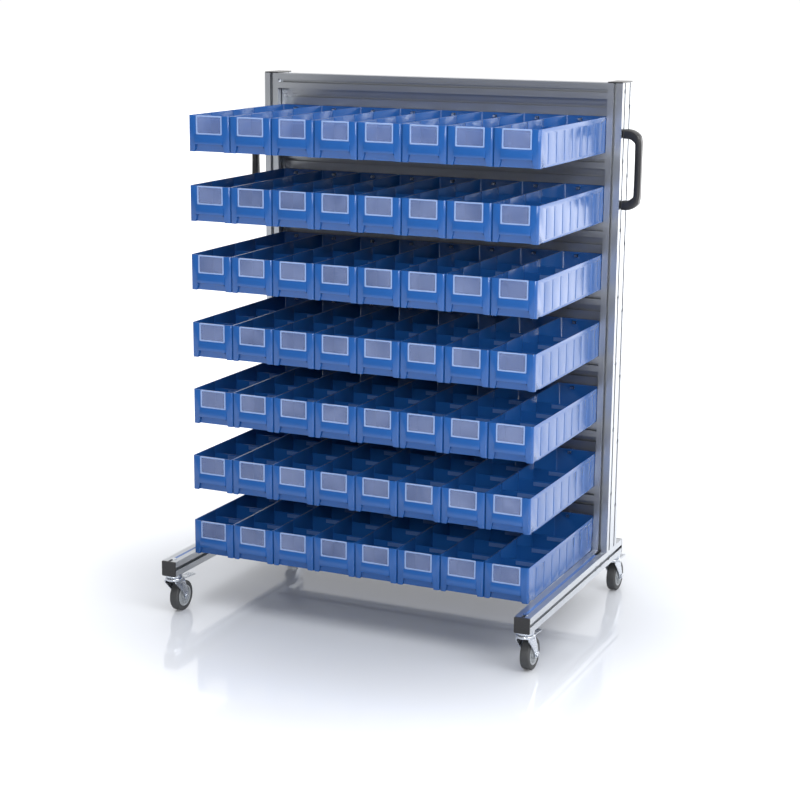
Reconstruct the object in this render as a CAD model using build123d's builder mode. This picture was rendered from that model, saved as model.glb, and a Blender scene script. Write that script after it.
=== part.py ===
"""Mobile rack of small-parts bins: an aluminium frame on four casters, seven tiers of shelf bins.

Millimetres, +Z up, the bins' fronts face -Y. The origin is on the floor, at the middle of the
footprint, so the wheels stand on Z = 0.
"""
import os
from math import sqrt

from build123d import *

os.makedirs("parts", exist_ok=True)

# ---- Driving dimensions ----------------------------------------------------------------------
# Slotted aluminium profile
module = 40.0              # side of the square profile; the uprights are one module by two
slot_opening = 8.2
slot_lip = 4.5             # thickness of the lips each side of a slot
slot_inner_width = 20.0    # the slot's hollow, just under the lips
slot_floor_width = 10.0
slot_depth = 12.5
core_bore = 8.2            # bore along the middle of each module
foot_cap_thickness = 4.0   # black end caps
top_cap_thickness = 3.0
cap_corner = 2.5

# Bins
tiers = 7
bins_per_tier = 8
bin_length = 500.0
bin_width = 116.4
bin_height = 90.0
bin_gap = 0.6              # between neighbouring bins
bin_wall = 2.2
bin_floor = 2.4
bin_corner = 6.0           # cut across the bin's upright corners
window_width = 74.0
window_height = 47.0       # notch in the front wall, from the rim down
pane_play = 0.2
pane_flange = 1.2          # thickness of the pane's border behind the wall
pane_overlap = 2.0         # how far that border laps behind the wall
pane_border = 3.5
pane_sink = 1.0            # how far the clear middle lies behind its border
grip_width = 86.0          # finger recess under the window
grip_height = 19.0
grip_depth = 9.0
grip_slope = 5.0           # how far the recess narrows towards its top, each side
lip_height = 23.0          # sloping lip between the recess and the window
lip_reach = 3.5
groove_first = 53.0        # first divider groove, from the bin's front
groove_pitch = 56.0
groove_depth = 1.0         # grooves inside the side walls, where the dividers stand
divided_grooves = (2, 4, 6)
divider_thickness = 1.6
divider_drop = 18.0        # from the bin's rim to the divider's top edge
divider_play = 0.2         # between a divider and its grooves, on every side

# Hooks that hold the bins' rear walls, pressed into the lower front slot of the rear beams
hook_offset = -19.0        # from the bin's middle
hook_drop = 10.0           # from the bin's rim to the middle of the hook's arm
hook_width = 8.0
hook_arm = 5.0
hook_plate = 2.0           # thickness of the plate that lies on the beam's face
hook_plate_width = 16.0
hook_plate_edge = 6.5      # plate beyond the middle of the arm and of the slot
hook_play = 1.5
hook_reach = 6.0           # how far the arm stands inside the rear wall
hook_tongue = 7.8          # height of the part that is pressed into the slot
hook_tongue_length = 7.0

# Rack
bin_seat = 28.0            # how far the bins stand back over their front beam
slide_gap = 0.3            # between the bins and what they slide on
head_clearance = 5.0       # over the bins, under the rear beam
row_play = 1.0             # between the bins' row and the uprights, each side
forward_tiers = (6, 7)     # tiers that stand a little forward
forward_step = 8.0
foot_ahead = 104.0         # foot in front of the bins' fronts
foot_behind = 54.0         # foot behind the uprights
crossbeam_ahead = 27.0     # gap between the low crossbeam and the uprights
slot_cover = 1.4           # thickness of the strips that close a slot
slot_cover_play = 0.2
cover_bolt_gap = 9.0       # bare slot between a caster's bolt and the cover
cover_upright_gap = 34.0   # bare slot between the cover and the upright

# Screws
screw_shank = 8.0
screw_hole = 8.4
screw_head = 13.0
screw_head_height = 4.5
screw_access = 14.0        # hole through the lips for the screw's head
screw_length = 45.0
screw_socket = 5.0         # across the flats
socket_depth = 2.6

# Handles
handle_height = 204.0
handle_top_drop = 114.0    # from the upright's top to the handle's top
handle_standoff = 50.0
handle_grip = 17.0         # thickness of the grip bar
handle_leg = 24.0
handle_width = 26.0
handle_outer_radius = 36.0
handle_inner_radius = 20.0
handle_bolt_head = 14.0    # from the upright to the underside of the bolt's head
tee_width = 13.0           # hammer head behind the slot's lips
tee_height = 7.8
tee_depth = 5.0

# Casters
wheel_diameter = 80.0
wheel_width = 24.0
tyre_shoulder = 4.0
hub_diameter = 56.0
hub_width = 27.0
hub_rim = 4.0
hub_web = 9.0              # thickness of the hub between its rim and its boss
hub_boss = 24.0
axle_diameter = 8.0
axle_head = 13.0           # across the flats
axle_head_height = 5.0
axle_rivet = 12.0
axle_rivet_height = 2.5
running_clearance = 0.05   # radial, in every turning fit
part_gap = 0.3             # between faces that turn past each other
wheel_headroom = 28.0      # from the tyre's top to the foot's underside
caster_inset = 26.0        # caster's swivel axis from the foot's end
caster_trail = 34.0        # wheel's axle behind the swivel axis
race_diameter = 44.0
race_height = 8.0
crown_diameter = 46.0
crown_height = 8.0
fork_plate = 2.5
fork_inside = 30.0         # between the fork's legs
leg_ahead = 19.0           # top of the leg, ahead of the swivel axis
leg_behind = 25.0
leg_end_radius = 10.0
caster_bolt = 10.0
bolt_head = 15.0
bolt_head_proud = 1.0
bolt_foot = 16.0           # head under the fork's crown
bolt_foot_height = 4.0
pivot_behind = 16.0        # pedal's pivot behind the swivel axis
pivot_drop = 22.0          # pedal's pivot below the foot
pedal_barrel = 7.0
pedal_stub = 5.0
pedal_reach = 92.0         # pedal's tip behind the swivel axis
pedal_width = 24.0
pedal_plate = 2.5
pedal_lift = 0.8           # plate's underside over the pivot
pedal_fall = 5.3           # how far the plate drops towards its tip

# ---- Places worked out from them ---------------------------------------------------------------
caster_height = wheel_diameter + wheel_headroom
tier_pitch = 2 * module + bin_height + head_clearance
bin_pitch = bin_width + bin_gap
inner_half = bins_per_tier * bin_pitch / 2 + row_play
outer_half = inner_half + module
foot_mid = inner_half + module / 2
foot_bottom = caster_height
foot_top = foot_bottom + module
foot_axis_z = foot_top - module / 2
frame_top = foot_top + tiers * tier_pitch

upright_depth = 2 * module
foot_total = foot_ahead + bin_length - bin_seat + upright_depth + foot_behind
rear_overhang = pedal_reach - caster_inset
foot_front = -(foot_total + rear_overhang) / 2
foot_rear = foot_front + foot_total
bin_front = foot_front + foot_ahead
bin_rear = bin_front + bin_length
upright_front = bin_rear - bin_seat
upright_mid = upright_front + upright_depth / 2
front_slot_y = upright_front + module / 2
rear_slot_y = upright_front + 3 * module / 2
crossbeam_mid = upright_front - crossbeam_ahead - module
slot_seat = outer_half - slot_depth
handle_mid_z = frame_top - handle_top_drop - handle_height / 2
handle_bolt_span = handle_height - handle_leg
divider_places = [groove_first + groove_pitch * (number - 1) for number in divided_grooves]
caster_places = {
    "front_left": (-foot_mid, foot_front + caster_inset, foot_bottom),
    "front_right": (foot_mid, foot_front + caster_inset, foot_bottom),
    "rear_left": (-foot_mid, foot_rear - caster_inset, foot_bottom),
    "rear_right": (foot_mid, foot_rear - caster_inset, foot_bottom),
}


def beam_top(level):
    """Top of a front beam, counted from 0 at the top of the rack."""
    return frame_top - level * tier_pitch


def bin_spot(tier, column):
    """Origin of a bin, both counted from 1, from the top and from the left."""
    x = (column - (bins_per_tier + 1) / 2) * bin_pitch
    y = bin_front - (forward_step if tier in forward_tiers else 0)
    return (x, y, beam_top(tier) + slide_gap)


def in_place(piece, *spots):
    """Copies of a piece, as separate solids, with its origin at each of the spots."""
    with BuildPart() as group:
        with Locations(*spots):
            add(piece)
    return group.part


def write_node(part, name):
    part.label = name
    export_step(part, f"parts/{name}.step")


# ---- Slotted profile -----------------------------------------------------------------------------
def slot_section():
    """One slot, opening towards +X, drawn about the middle of its module."""
    face = module / 2
    half = [
        (face + 1, slot_opening / 2),
        (face - slot_lip, slot_opening / 2),
        (face - slot_lip, slot_inner_width / 2),
        (face - slot_depth, slot_floor_width / 2),
    ]
    with BuildSketch() as section:
        Polygon(*half, *[(x, -y) for x, y in reversed(half)], align=None)
    return section.sketch


def profile_bar(plane, length, cells=1):
    """A bar of profile, one module across the plane's X and so many modules along its Y."""
    mids = [(0, (i - (cells - 1) / 2) * module) for i in range(cells)]
    slots = [(mid, turn) for mid in mids for turn in (0, 180)]
    slots += [(mids[0], 270), (mids[-1], 90)]
    slot = slot_section()
    with BuildPart() as bar:
        with BuildSketch(plane):
            Rectangle(module, cells * module)
            for (x, y), turn in slots:
                with Locations(Location((x, y, 0), (0, 0, turn))):
                    add(slot, mode=Mode.SUBTRACT)
            with Locations(*mids):
                Circle(core_bore / 2, mode=Mode.SUBTRACT)
        extrude(amount=length)
    return bar.part


def crossbar(y, z, cells=1, flat=False):
    """A bar between the uprights: one module square, or two modules standing or lying flat."""
    along = (0, 0, 1) if flat else (0, 1, 0)
    plane = Plane(origin=(-inner_half, y, z), x_dir=along, z_dir=(1, 0, 0))
    return profile_bar(plane, 2 * inner_half, cells)


# ---- Frame -----------------------------------------------------------------------------------------
beam_screws = [(front_slot_y, beam_top(i) - module / 2) for i in range(tiers)]
beam_screws += [(rear_slot_y, beam_top(i) - 3 * module / 2) for i in range(tiers)]
foot_screws = [(crossbeam_mid + s * module / 2, foot_axis_z) for s in (-1, 1)]
foot_screws += [(front_slot_y, foot_axis_z)]


def drilled(bar, side, places):
    """The bar with screw seats in its outer slots and clearance holes through its web."""
    with BuildPart() as result:
        add(bar)
        for y, z in places:
            face = Plane(origin=(side * outer_half, y, z), z_dir=(-side, 0, 0))
            with BuildSketch(face):
                Circle(screw_access / 2)
            extrude(amount=slot_depth, mode=Mode.SUBTRACT)
            with BuildSketch(face):
                Circle(screw_hole / 2)
            extrude(amount=module, mode=Mode.SUBTRACT)
    return result.part


def make_upright(side):
    start = Plane(origin=(side * foot_mid, upright_mid, foot_top))
    bar = profile_bar(start, frame_top - foot_top, cells=2)
    return drilled(bar, side, beam_screws)


def make_foot(side):
    """A foot, bored for its casters' bolts, its crossbeams' screws and its upright's screw."""
    start = Plane(
        origin=(side * foot_mid, foot_front + foot_cap_thickness, foot_axis_z),
        x_dir=(1, 0, 0),
        z_dir=(0, 1, 0),
    )
    bar = profile_bar(start, foot_total - 2 * foot_cap_thickness)
    tops = [(x, y, foot_top) for x, y, z in caster_places.values() if x * side > 0]
    with BuildPart() as foot:
        add(drilled(bar, side, foot_screws))
        with Locations(*tops):
            CounterBoreHole(
                radius=caster_bolt / 2 + running_clearance,
                counter_bore_radius=bolt_head / 2 + part_gap,
                counter_bore_depth=slot_depth,
                depth=module,
            )
        underside = Plane(origin=(side * foot_mid, rear_slot_y, foot_bottom))
        with BuildSketch(underside):
            Circle(screw_access / 2)
        extrude(amount=slot_depth, mode=Mode.SUBTRACT)
        with BuildSketch(underside):
            Circle(screw_hole / 2)
        extrude(amount=module, mode=Mode.SUBTRACT)
    return foot.part


def make_screw():
    """A button-head screw: the underside of its head at the origin, pointing up."""
    with BuildPart() as screw:
        Cylinder(screw_shank / 2, screw_length, align=(Align.CENTER, Align.CENTER, Align.MIN))
        Cylinder(screw_head / 2, screw_head_height, align=(Align.CENTER, Align.CENTER, Align.MAX))
        chamfer(screw.edges().group_by(Axis.Z)[0], screw_head_height / 3)
        with BuildSketch(Plane.XY.offset(-screw_head_height)):
            RegularPolygon(screw_socket / 2, 6, major_radius=False)
        extrude(amount=socket_depth, mode=Mode.SUBTRACT)
    return screw.part


def make_handle_bolt():
    """A hammer-head bolt: the upright's face at Z = 0, its button head above."""
    with BuildPart() as bolt:
        with Locations((0, 0, -slot_lip - tee_depth / 2)):
            Box(tee_height, tee_width, tee_depth)
        with Locations((0, 0, -slot_lip)):
            Cylinder(
                screw_shank / 2,
                slot_lip + handle_bolt_head,
                align=(Align.CENTER, Align.CENTER, Align.MIN),
            )
        with BuildSketch(Plane.XY.offset(handle_bolt_head)):
            Circle(screw_head / 2)
        extrude(amount=screw_head_height)
        with BuildSketch(Plane.XY.offset(handle_bolt_head + screw_head_height)):
            RegularPolygon(screw_socket / 2, 6, major_radius=False)
        extrude(amount=-socket_depth, mode=Mode.SUBTRACT)
    return bolt.part


with BuildPart() as front_beams:
    for level in range(tiers + 1):
        add(crossbar(front_slot_y, beam_top(level) - module / 2))

with BuildPart() as rear_beams:
    for level in range(tiers):
        add(crossbar(rear_slot_y, beam_top(level) - 2 * module, cells=2))

with BuildPart() as end_caps:
    with BuildSketch(Plane.XY.offset(frame_top)):
        with Locations((-foot_mid, upright_mid), (foot_mid, upright_mid)):
            RectangleRounded(module, upright_depth, cap_corner)
    extrude(amount=top_cap_thickness)
    for y in (foot_front, foot_rear - foot_cap_thickness):
        with BuildSketch(Plane.XZ.offset(-y)):
            with Locations((-foot_mid, foot_axis_z), (foot_mid, foot_axis_z)):
                RectangleRounded(module, module, cap_corner)
        extrude(amount=-foot_cap_thickness)

with BuildPart() as slot_covers:
    cover_start = foot_front + caster_inset + cover_bolt_gap
    cover_end = upright_front - cover_upright_gap
    cover_width = slot_opening - 2 * slot_cover_play
    cover_mid = (cover_start + cover_end) / 2
    with Locations((-foot_mid, cover_mid, foot_top), (foot_mid, cover_mid, foot_top)):
        Box(
            cover_width,
            cover_end - cover_start,
            slot_cover,
            align=(Align.CENTER, Align.CENTER, Align.MAX),
        )

screw_spots = [
    Plane(origin=(side * slot_seat, y, z), x_dir=(0, 0, 1), z_dir=(-side, 0, 0)).location
    for side in (-1, 1)
    for y, z in beam_screws + foot_screws
]
screw_spots += [
    Location((side * foot_mid, rear_slot_y, foot_bottom + slot_depth)) for side in (-1, 1)
]
handle_bolt_spots = [
    Plane(
        origin=(side * outer_half, front_slot_y, handle_mid_z + end * handle_bolt_span / 2),
        x_dir=(0, 0, 1),
        z_dir=(side, 0, 0),
    ).location
    for side in (-1, 1)
    for end in (-1, 1)
]


# ---- Handles ---------------------------------------------------------------------------------------
def handle_loop(side, half_height, reach, radius):
    """One edge of a handle's side view, closed along the upright's face."""
    face = side * outer_half
    far = side * (outer_half + reach)
    low = handle_mid_z - half_height
    high = handle_mid_z + half_height
    with BuildSketch(Plane.XZ) as loop:
        with BuildLine():
            FilletPolyline((face, low), (far, low), (far, high), (face, high), radius=radius)
            Line((face, high), (face, low))
        make_face()
    return loop.sketch_local


def make_handle(side):
    """A bridge handle; each leg takes a bolt whose head stands at the bottom of a deep bore."""
    outside = handle_loop(side, handle_height / 2, handle_standoff, handle_outer_radius)
    inside = handle_loop(
        side,
        handle_height / 2 - handle_leg,
        handle_standoff - handle_grip,
        handle_inner_radius,
    )
    with BuildPart() as handle:
        with BuildSketch(Plane.XZ.offset(-front_slot_y - handle_width / 2)):
            add(outside)
            add(inside, mode=Mode.SUBTRACT)
        extrude(amount=handle_width)
        for end in (-1, 1):
            z = handle_mid_z + end * handle_bolt_span / 2
            face = Plane(origin=(side * outer_half, front_slot_y, z), z_dir=(side, 0, 0))
            with BuildSketch(face):
                Circle(screw_hole / 2)
            extrude(amount=handle_standoff, mode=Mode.SUBTRACT)
            with BuildSketch(face.offset(handle_bolt_head)):
                Circle(screw_access / 2)
            extrude(amount=handle_standoff, mode=Mode.SUBTRACT)
    return handle.part


# ---- Bins ------------------------------------------------------------------------------------------
def bin_plan(inset):
    """The bin seen from above, so far inside its outer faces."""
    with BuildSketch() as plan:
        with Locations((0, bin_length / 2)):
            Rectangle(bin_width - 2 * inset, bin_length - 2 * inset)
        chamfer(plan.vertices(), bin_corner - inset * (2 - sqrt(2)))
    return plan.sketch


def grip_face(grow):
    """The finger recess seen from the front, grown by a wall's thickness."""
    low = grip_width / 2 + grow
    high = low - grip_slope
    top = grip_height + grow
    with BuildSketch() as face:
        Polygon((-low, 0), (low, 0), (high, top), (-high, top), align=None)
    return face.sketch


def make_cavity():
    """The room inside a bin, with the finger recess standing in its front."""
    with BuildPart() as cavity:
        with BuildSketch(Plane.XY.offset(bin_floor)):
            add(bin_plan(bin_wall))
        extrude(amount=bin_height)
        with BuildSketch(Plane.XZ):
            add(grip_face(bin_wall))
        extrude(amount=-grip_depth - bin_wall, mode=Mode.SUBTRACT)
    return cavity.part


def make_bin():
    """One bin: its front at Y = 0, its middle at X = 0, standing on Z = 0."""
    cavity = make_cavity()
    lip_half = grip_width / 2 - grip_slope
    lip_top = grip_height + lip_height
    hook_z = bin_height - hook_drop - slide_gap
    low_middle = (Align.CENTER, Align.CENTER, Align.MIN)
    with BuildPart() as shell:
        with BuildSketch():
            add(bin_plan(0))
        extrude(amount=bin_height)
        add(cavity, mode=Mode.SUBTRACT)
        with BuildSketch(Plane.XZ):
            add(grip_face(0))
        extrude(amount=-grip_depth, mode=Mode.SUBTRACT)
        with BuildSketch(Plane.YZ.offset(-lip_half)):
            Polygon(
                (0, lip_top),
                (-lip_reach, grip_height + lip_reach),
                (-lip_reach, grip_height),
                (0, grip_height),
                align=None,
            )
        extrude(amount=2 * lip_half)
        with Locations((0, 0, bin_height)):
            Box(window_width, 3 * bin_wall, 2 * window_height, mode=Mode.SUBTRACT)
        with Locations((hook_offset, bin_length, hook_z)):
            Box(
                hook_width + 2 * hook_play,
                3 * bin_wall,
                hook_arm + 2 * hook_play,
                mode=Mode.SUBTRACT,
            )
        with Locations(*[(0, y, bin_floor) for y in divider_places]):
            Box(
                bin_width - 2 * bin_wall + 2 * groove_depth,
                divider_thickness + 2 * divider_play,
                bin_height,
                align=low_middle,
                mode=Mode.SUBTRACT,
            )
    return shell.part


def make_window():
    """The clear pane in a bin's front, lapping behind the wall; placed like the bin."""
    bottom = bin_height - window_height
    low_front = (Align.CENTER, Align.MIN, Align.MIN)
    with BuildPart() as pane:
        with Locations((0, 0, bottom)):
            Box(window_width - 2 * pane_play, bin_wall, window_height, align=low_front)
        with Locations((0, bin_wall, bottom - pane_overlap)):
            Box(
                window_width + 2 * pane_overlap,
                pane_flange,
                window_height + pane_overlap,
                align=low_front,
            )
        with Locations((0, 0, bottom + pane_border)):
            Box(
                window_width - 2 * pane_border,
                pane_sink,
                window_height - 2 * pane_border,
                align=low_front,
                mode=Mode.SUBTRACT,
            )
    return pane.part


def make_dividers():
    """A bin's dividers, standing in their grooves; placed like the bin."""
    width = bin_width - 2 * bin_wall + 2 * groove_depth - 2 * divider_play
    height = bin_height - divider_drop - bin_floor
    with BuildPart() as plates:
        with Locations(*[(0, y, bin_floor) for y in divider_places]):
            Box(
                width,
                divider_thickness,
                height,
                align=(Align.CENTER, Align.CENTER, Align.MIN),
            )
    return plates.part


def make_hook():
    """A hook for one bin: placed like the bin, pressed into the rear beam's lower front slot."""
    face_y = bin_length - bin_seat + module
    arm_z = bin_height - hook_drop - slide_gap
    slot_z = bin_height + head_clearance - slide_gap - module / 2
    tip = bin_length - bin_wall - hook_reach
    plate_low = min(slot_z, arm_z) - hook_plate_edge
    plate_high = max(slot_z, arm_z) + hook_plate_edge
    with BuildPart() as hook:
        with Locations((hook_offset, tip, arm_z)):
            Box(
                hook_width,
                face_y - tip,
                hook_arm,
                align=(Align.CENTER, Align.MIN, Align.CENTER),
            )
        with Locations((hook_offset, face_y, plate_low)):
            Box(
                hook_plate_width,
                hook_plate,
                plate_high - plate_low,
                align=(Align.CENTER, Align.MAX, Align.MIN),
            )
        with Locations((hook_offset, face_y, slot_z)):
            Box(
                hook_width,
                hook_tongue_length,
                hook_tongue,
                align=(Align.CENTER, Align.MIN, Align.CENTER),
            )
    return hook.part


# ---- Casters: swivel axis at X = Y = 0, underside of the foot at Z = 0, trailing towards +Y ------
axle_drop = caster_height - wheel_diameter / 2
crown_top = -race_height - part_gap
crown_bottom = crown_top - crown_height
wheel_spot = (0, caster_trail, -axle_drop)
leg_inner = fork_inside / 2
leg_outer = leg_inner + fork_plate


def make_caster_head():
    """The race that is clamped under the foot."""
    with BuildPart() as head:
        with BuildSketch():
            Circle(race_diameter / 2)
            Circle(caster_bolt / 2 + running_clearance, mode=Mode.SUBTRACT)
        extrude(amount=-race_height)
        chamfer(head.edges().filter_by(GeomType.CIRCLE).sort_by(SortBy.RADIUS)[-2:], 1.5)
    return head.part


def make_caster_bolt():
    """The bolt through foot, race and crown, with its two heads."""
    foot = crown_bottom - part_gap
    with BuildPart() as bolt:
        with BuildSketch(Plane.XY.offset(foot - bolt_foot_height)):
            Circle(bolt_foot / 2)
        extrude(amount=bolt_foot_height)
        with BuildSketch(Plane.XY.offset(foot)):
            Circle(caster_bolt / 2)
        extrude(amount=module - slot_depth - foot)
        with BuildSketch(Plane.XY.offset(module - slot_depth)):
            Circle(bolt_head / 2)
        extrude(amount=slot_depth + bolt_head_proud)
    return bolt.part


def make_fork():
    """Crown, bridge and two tapering legs, bored for the bolt, the axle and the pedal."""
    reach = leg_ahead + leg_behind
    middle = (leg_behind - leg_ahead) / 2
    with BuildPart() as fork:
        with BuildSketch(Plane.XY.offset(crown_top)):
            Circle(crown_diameter / 2)
        extrude(amount=-crown_height)
        with BuildSketch(Plane.XY.offset(crown_bottom)):
            with Locations((0, middle)):
                Rectangle(2 * leg_outer, reach)
        extrude(amount=fork_plate)
        for x in (-leg_outer, leg_inner):
            with BuildSketch(Plane.YZ.offset(x)):
                with Locations((caster_trail, -axle_drop)):
                    Circle(leg_end_radius)
                with Locations((middle, crown_bottom + fork_plate / 2)):
                    Rectangle(reach, fork_plate)
                make_hull()
            extrude(amount=fork_plate)
        with BuildSketch():
            Circle(caster_bolt / 2 + running_clearance)
        extrude(amount=-caster_height, mode=Mode.SUBTRACT)
        with BuildSketch(Plane.YZ.offset(-leg_outer)):
            with Locations((caster_trail, -axle_drop)):
                Circle(axle_diameter / 2 + running_clearance)
            with Locations((pivot_behind, -pivot_drop)):
                Circle(pedal_stub / 2 + running_clearance)
        extrude(amount=2 * leg_outer, mode=Mode.SUBTRACT)
    return fork.part


def make_axle_bolt(side):
    """The wheel's axle, its hexagon head on the rack's outer side."""
    with BuildPart() as bolt:
        with BuildSketch(Plane.YZ.offset(-leg_outer)):
            with Locations(wheel_spot[1:]):
                Circle(axle_diameter / 2)
        extrude(amount=2 * leg_outer)
        with BuildSketch(Plane.YZ.offset(side * leg_outer)):
            with Locations(wheel_spot[1:]):
                RegularPolygon(axle_head / 2, 6, major_radius=False)
        extrude(amount=side * axle_head_height)
        with BuildSketch(Plane.YZ.offset(-side * leg_outer)):
            with Locations(wheel_spot[1:]):
                Circle(axle_rivet / 2)
        extrude(amount=-side * axle_rivet_height)
    return bolt.part


def make_hub():
    """The wheel's body: rim, web and boss."""
    bore = axle_diameter / 2 + running_clearance
    rings = [
        (hub_diameter / 2, hub_diameter / 2 - hub_rim, wheel_width),
        (hub_diameter / 2 - hub_rim, hub_boss / 2, hub_web),
        (hub_boss / 2, bore, hub_width),
    ]
    with BuildPart() as hub:
        with BuildSketch():
            for outer, inner, width in rings:
                with Locations((0, (outer + inner) / 2)):
                    Rectangle(width, outer - inner)
        revolve(axis=Axis.X)
    return hub.part.moved(Location(wheel_spot))


def make_tyre():
    with BuildPart() as tyre:
        with BuildSketch():
            with Locations((0, (wheel_diameter + hub_diameter) / 4)):
                tread = Rectangle(wheel_width, (wheel_diameter - hub_diameter) / 2)
            fillet(tread.vertices().group_by(Axis.Y)[-1], tyre_shoulder)
        revolve(axis=Axis.X)
    return tyre.part.moved(Location(wheel_spot))


def make_pedal():
    """The brake pedal: a barrel between the legs, its stubs in them, and a plate to step on."""
    pivot = (pivot_behind, -pivot_drop)
    reach = pedal_reach - pivot_behind
    low = pedal_lift
    high = pedal_lift + pedal_plate
    barrel = fork_inside / 2 - part_gap
    with BuildPart() as pedal:
        with BuildSketch(Plane.YZ.offset(-barrel)):
            with Locations(pivot):
                Circle(pedal_barrel / 2)
        extrude(amount=2 * barrel)
        with BuildSketch(Plane.YZ.offset(-leg_outer)):
            with Locations(pivot):
                Circle(pedal_stub / 2)
        extrude(amount=2 * leg_outer)
        with BuildSketch(Plane.YZ.offset(-pedal_width / 2)):
            with Locations(pivot):
                Polygon(
                    (0, low),
                    (reach, low - pedal_fall),
                    (reach, high - pedal_fall),
                    (0, high),
                    align=None,
                )
        extrude(amount=pedal_width)
    return pedal.part


# ---- Files -----------------------------------------------------------------------------------------
write_node(make_upright(-1), "left_upright")
write_node(make_upright(1), "right_upright")
write_node(front_beams.part, "front_beams")
write_node(rear_beams.part, "rear_beams")
write_node(crossbar(crossbeam_mid, foot_axis_z, cells=2, flat=True), "foot_crossbeam")
write_node(make_foot(-1), "left_foot")
write_node(make_foot(1), "right_foot")
write_node(end_caps.part, "end_caps")
write_node(slot_covers.part, "slot_covers")
write_node(in_place(make_screw(), *screw_spots), "frame_screws")
write_node(in_place(make_handle_bolt(), *handle_bolt_spots), "handle_bolts")
write_node(make_handle(-1), "left_handle")
write_node(make_handle(1), "right_handle")

bin_shell = make_bin()
bin_window = make_window()
bin_dividers = make_dividers()
bin_hook = make_hook()
columns = range(1, bins_per_tier + 1)
for tier in range(1, tiers + 1):
    spots = [bin_spot(tier, column) for column in columns]
    if tier == 1:
        single = spots.pop()
        write_node(in_place(bin_shell, single), "single_bin")
        write_node(in_place(bin_window, single), "single_bin_window")
        write_node(in_place(bin_dividers, single), "single_bin_dividers")
    write_node(in_place(bin_shell, *spots), f"tier_{tier}_bins")
    write_node(in_place(bin_window, *spots), f"tier_{tier}_windows")
    write_node(in_place(bin_dividers, *spots), f"tier_{tier}_dividers")

hook_spots = [
    (bin_spot(tier, column)[0], bin_front, beam_top(tier) + slide_gap)
    for tier in range(1, tiers + 1)
    for column in columns
]
write_node(in_place(bin_hook, *hook_spots), "bin_hooks")

write_node(in_place(make_caster_bolt(), *caster_places.values()), "caster_bolts")
write_node(in_place(make_caster_head(), *caster_places.values()), "caster_heads")
for place, spot in caster_places.items():
    side = 1 if spot[0] > 0 else -1
    write_node(in_place(make_fork(), spot), f"{place}_fork")
    write_node(in_place(make_axle_bolt(side), spot), f"{place}_axle_bolt")
    write_node(in_place(make_hub(), spot), f"{place}_hub")
    write_node(in_place(make_tyre(), spot), f"{place}_tyre")
    write_node(in_place(make_pedal(), spot), f"{place}_brake_pedal")
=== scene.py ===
"""Looks for the mobile small-parts bin rack: pieces, finishes and a plain studio."""
from math import cos, pi, radians, sin

import bpy
from bpy.props import FloatProperty, FloatVectorProperty, IntProperty, PointerProperty
from mathutils import Matrix, Vector


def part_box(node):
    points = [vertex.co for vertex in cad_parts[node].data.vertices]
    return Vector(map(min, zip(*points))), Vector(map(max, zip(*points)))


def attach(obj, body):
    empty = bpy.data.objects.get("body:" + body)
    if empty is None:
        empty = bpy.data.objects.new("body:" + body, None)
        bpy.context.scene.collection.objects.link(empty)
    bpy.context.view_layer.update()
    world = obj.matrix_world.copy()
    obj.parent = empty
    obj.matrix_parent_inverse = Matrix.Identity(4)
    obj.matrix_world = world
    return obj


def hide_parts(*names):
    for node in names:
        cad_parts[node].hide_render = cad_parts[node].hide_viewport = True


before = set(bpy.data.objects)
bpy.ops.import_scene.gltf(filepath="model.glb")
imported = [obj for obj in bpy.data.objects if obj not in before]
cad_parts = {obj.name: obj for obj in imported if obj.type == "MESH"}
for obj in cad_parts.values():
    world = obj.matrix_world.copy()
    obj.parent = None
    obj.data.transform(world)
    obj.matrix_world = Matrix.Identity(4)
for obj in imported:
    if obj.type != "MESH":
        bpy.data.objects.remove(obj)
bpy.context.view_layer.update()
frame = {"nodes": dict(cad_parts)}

bl_info = {
    "name": "Small-parts bin rack",
    "version": (1, 0, 0),
    "blender": (4, 5, 0),
    "location": "3D View > Sidebar > Bin rack",
    "description": "Builds the bins, handles, casters and finishes of a mobile bin rack",
    "category": "Add Mesh",
}

MM = 0.001
TIERS = range(1, 8)
CORNERS = ("front_left", "front_right", "rear_left", "rear_right")


# ---- Sizes and colours that a user would change -----------------------------------------------
class BinSettings(bpy.types.PropertyGroup):
    wall: FloatProperty(
        name="Wall",
        description="Thickness of a bin's walls",
        default=2.2 * MM,
        unit="LENGTH",
    )
    corner: FloatProperty(
        name="Corner",
        description="Radius of a bin's upright corners",
        default=6.0 * MM,
        unit="LENGTH",
    )
    groove_count: IntProperty(
        name="Grooves",
        description="Grooves along each side wall",
        default=8,
        min=1,
    )
    groove_width: FloatProperty(
        name="Groove width",
        description="Width of a groove in the side walls",
        default=5.0 * MM,
        unit="LENGTH",
    )
    groove_depth: FloatProperty(
        name="Groove depth",
        description="Depth of a groove in the outer side of the walls",
        default=1.1 * MM,
        unit="LENGTH",
    )
    pane_border: FloatProperty(
        name="Pane border",
        description="Width of the milky border round a bin's clear pane",
        default=3.5 * MM,
        unit="LENGTH",
    )
    colour: FloatVectorProperty(
        name="Bin colour",
        description="Colour of the bins and their dividers",
        default=(0.010, 0.075, 0.270),
        subtype="COLOR",
    )
    # Painted light: this colour gives the dividers' strips, which stand for a patch of light on
    # them; the slot covers take the same colour
    cover_and_lit_patch_colour: FloatVectorProperty(
        name="Cover and lit patch colour",
        description="Colour of the slot covers and of the painted light patches on the dividers",
        default=(0.060, 0.130, 0.330),
        subtype="COLOR",
    )


class RackSettings(bpy.types.PropertyGroup):
    metal_colour: FloatVectorProperty(
        name="Profile colour",
        description="Colour of the anodised profiles",
        default=(0.50, 0.52, 0.55),
        subtype="COLOR",
    )
    handle_waist: FloatProperty(
        name="Handle waist",
        description="How much a handle narrows half way up",
        default=3.0 * MM,
        unit="LENGTH",
    )
    edge: FloatProperty(
        name="Edge",
        description="Softened edge on plastic and metal pieces",
        default=0.6 * MM,
        unit="LENGTH",
    )


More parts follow.
